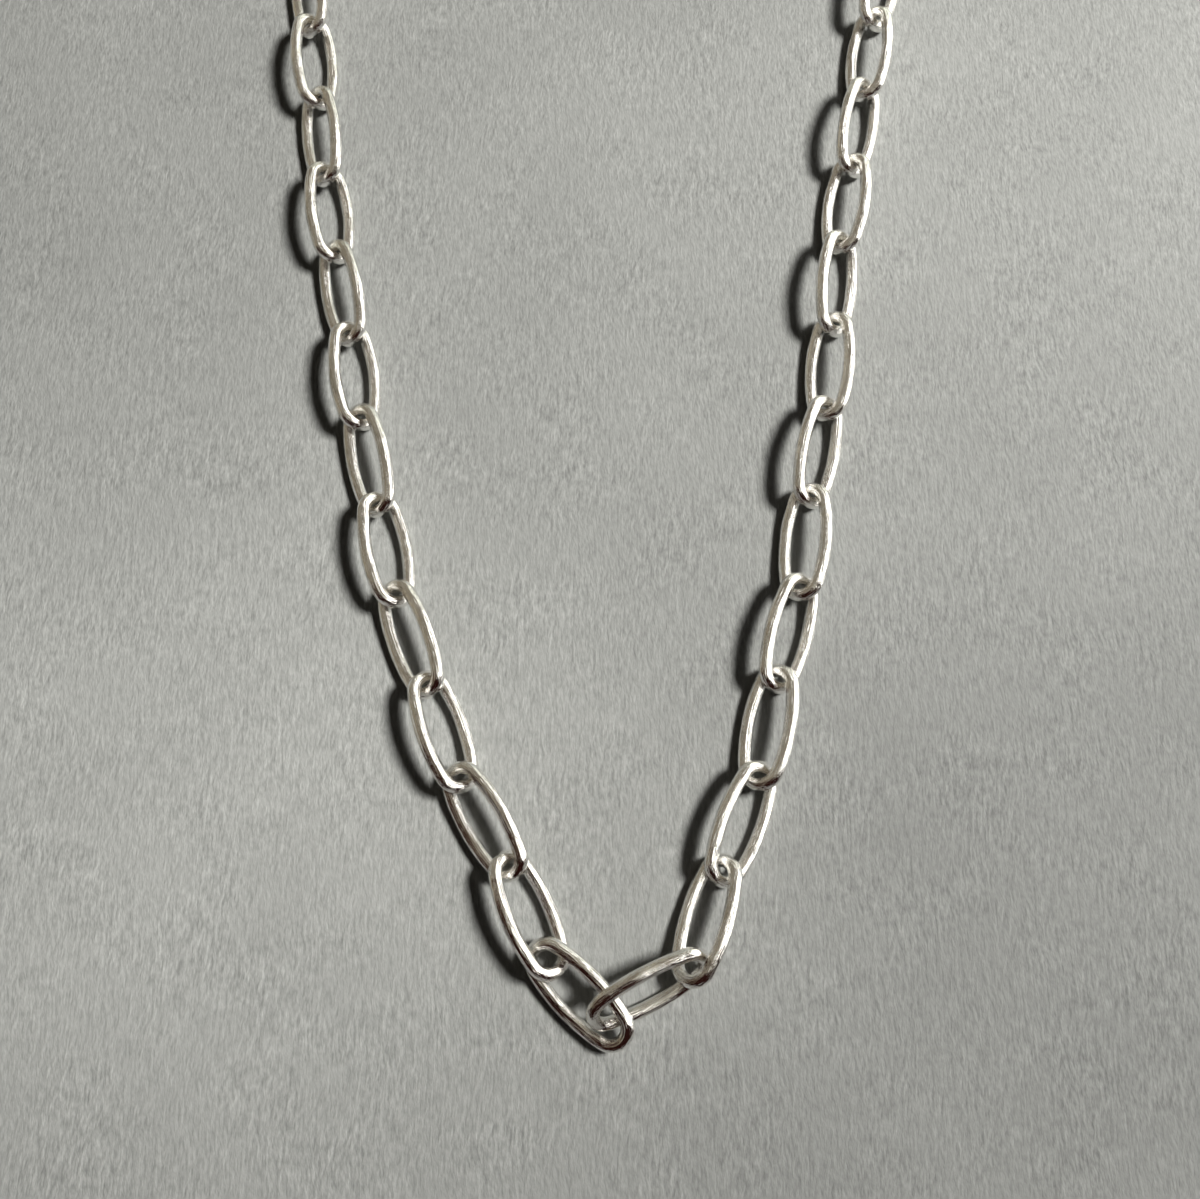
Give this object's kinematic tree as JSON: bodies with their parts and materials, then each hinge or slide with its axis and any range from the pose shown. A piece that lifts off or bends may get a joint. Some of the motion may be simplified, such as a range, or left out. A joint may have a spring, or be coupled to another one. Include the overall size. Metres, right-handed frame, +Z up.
{
  "type": "paperclip chain necklace",
  "caption": "Closed necklace of long narrow links of round polished silver-coloured wire, laid flat, with a plain clasp at the back.",
  "frame": {"origin": "middle of the necklace's outer box, on the surface that it lies on", "axes": "+Z up from that surface, +Y along the necklace from the front bend to the clasp, +X to the right seen from above with the bend nearest"},
  "size_m": [0.0838, 0.206, 0.0043],
  "materials": {
    "silver": "polished, with fine drawing lines and small nicks at the solder joints"
  },
  "bodies": {
    "root": {"left_link_01": "silver", "left_link_02": "silver", "left_link_03": "silver", "left_link_04": "silver", "left_link_05": "silver", "left_link_06": "silver", "left_link_07": "silver", "left_link_08": "silver", "left_link_09": "silver", "left_link_10": "silver", "left_link_11": "silver", "left_link_12": "silver", "left_link_13": "silver", "left_link_14": "silver", "left_link_15": "silver", "left_link_16": "silver", "left_link_17": "silver", "left_link_18": "silver", "left_link_19": "silver", "left_link_20": "silver", "right_link_01": "silver", "right_link_02": "silver", "right_link_03": "silver", "right_link_04": "silver", "right_link_05": "silver", "right_link_06": "silver", "right_link_07": "silver", "right_link_08": "silver", "right_link_09": "silver", "right_link_10": "silver", "right_link_11": "silver", "right_link_12": "silver", "right_link_13": "silver", "right_link_14": "silver", "right_link_15": "silver", "right_link_16": "silver", "right_link_17": "silver", "right_link_18": "silver", "right_link_19": "silver", "right_link_20": "silver", "left_run": "silver", "right_run": "silver", "clasp": "silver"}
  },
  "joints": []
}
